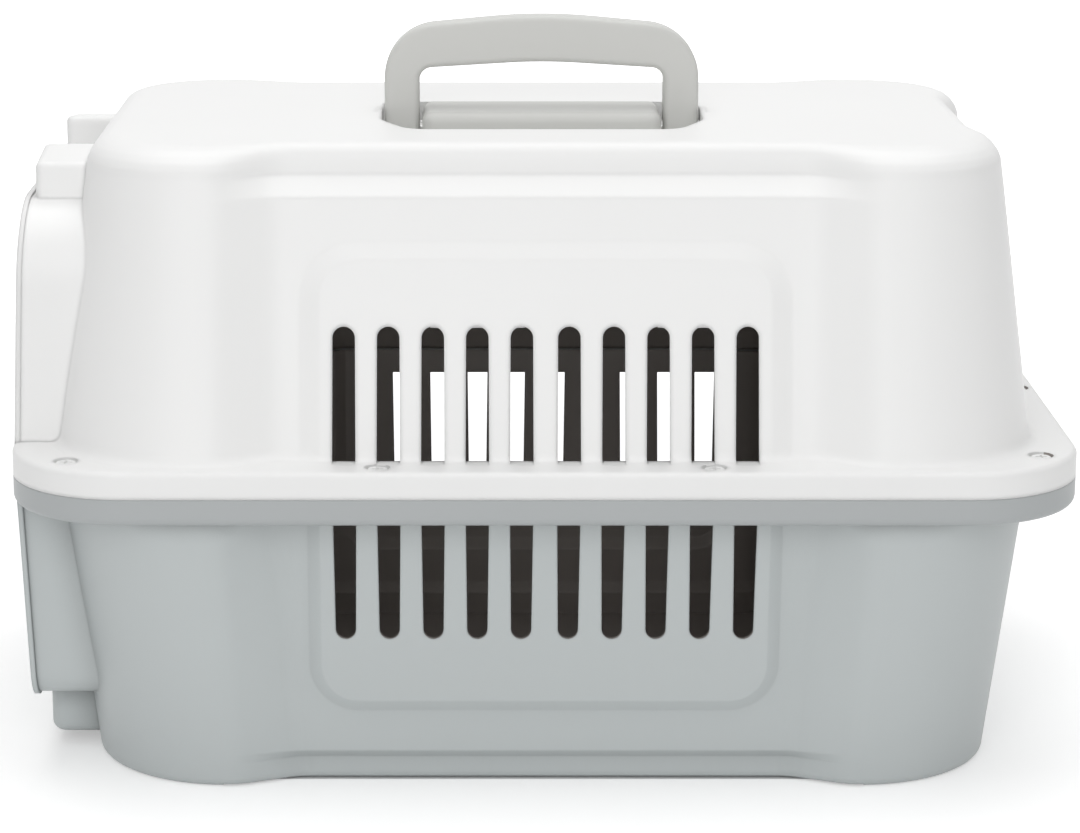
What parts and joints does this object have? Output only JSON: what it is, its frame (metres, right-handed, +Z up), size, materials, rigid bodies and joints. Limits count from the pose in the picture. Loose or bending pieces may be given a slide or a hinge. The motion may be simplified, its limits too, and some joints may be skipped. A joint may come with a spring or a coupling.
{
  "type": "cat carrier",
  "caption": "Two-part plastic cat carrier with a bolted rim, slotted sides, a recessed grille door with spring bolts and a fold-down top handle.",
  "frame": {"origin": "on the floor under the middle of the base", "axes": "+Z up, +X from the door end to the rear end, +Y across the width"},
  "size_m": [0.48, 0.32, 0.3356],
  "materials": {
    "top_shell": "fine satin moulded plastic, warm white",
    "base_shell": "fine satin moulded plastic, cool light grey",
    "door": "satin moulded plastic, light grey",
    "latch": "satin moulded plastic, off-white",
    "handle": "satin moulded plastic, warm light grey",
    "steel": "zinc-plated steel",
    "fastener_head": "off-white coated bolt"
  },
  "bodies": {
    "carrier": {"lower_shell": "base_shell", "upper_shell": "top_shell", "rim_bolts": "fastener_head", "rim_washers": "steel", "rim_nuts": "steel", "handle_base": "handle", "handle_pin_front": "steel", "handle_pin_rear": "steel", "handle_base_screws": "steel", "handle_base_washers": "steel"},
    "door": {"door_panel": "door", "bolt_cover_left": "door", "bolt_cover_right": "door", "bolt_spring_left": "steel", "bolt_spring_right": "steel"},
    "left_upper_bolt": {"door_bolt_left_upper": "latch"},
    "left_lower_bolt": {"door_bolt_left_lower": "latch"},
    "right_upper_bolt": {"door_bolt_right_upper": "latch"},
    "right_lower_bolt": {"door_bolt_right_lower": "latch"},
    "handle": {"carry_handle": "handle"}
  },
  "joints": [
    {"name": "door_hinge", "type": "hinge", "parent": "carrier", "child": "door", "pos_m": [-0.225, 0.0675, 0.14925], "axis": [0, 0, -1], "range_deg": [0, 100]},
    {"name": "left_upper_bolt_slide", "type": "slide", "parent": "door", "child": "left_upper_bolt", "axis": [0, 0, -1], "range_m": [0, 0.008], "stiffness_N_per_m": 100, "springref_m": -0.006, "deforming": ["bolt_spring_left"]},
    {"name": "left_lower_bolt_slide", "type": "slide", "parent": "door", "child": "left_lower_bolt", "axis": [0, 0, 1], "range_m": [0, 0.008], "stiffness_N_per_m": 100, "springref_m": -0.006, "deforming": ["bolt_spring_left"]},
    {"name": "right_upper_bolt_slide", "type": "slide", "parent": "door", "child": "right_upper_bolt", "axis": [0, 0, 1], "range_m": [0, 0.008], "stiffness_N_per_m": 100, "springref_m": 0.014, "deforming": ["bolt_spring_right"]},
    {"name": "right_lower_bolt_slide", "type": "slide", "parent": "door", "child": "right_lower_bolt", "axis": [0, 0, -1], "range_m": [0, 0.008], "stiffness_N_per_m": 100, "springref_m": 0.014, "deforming": ["bolt_spring_right"]},
    {"name": "handle_fold", "type": "hinge", "parent": "carrier", "child": "handle", "pos_m": [0, 0, 0.2826], "axis": [1, 0, 0], "range_deg": [0, 90]}
  ]
}
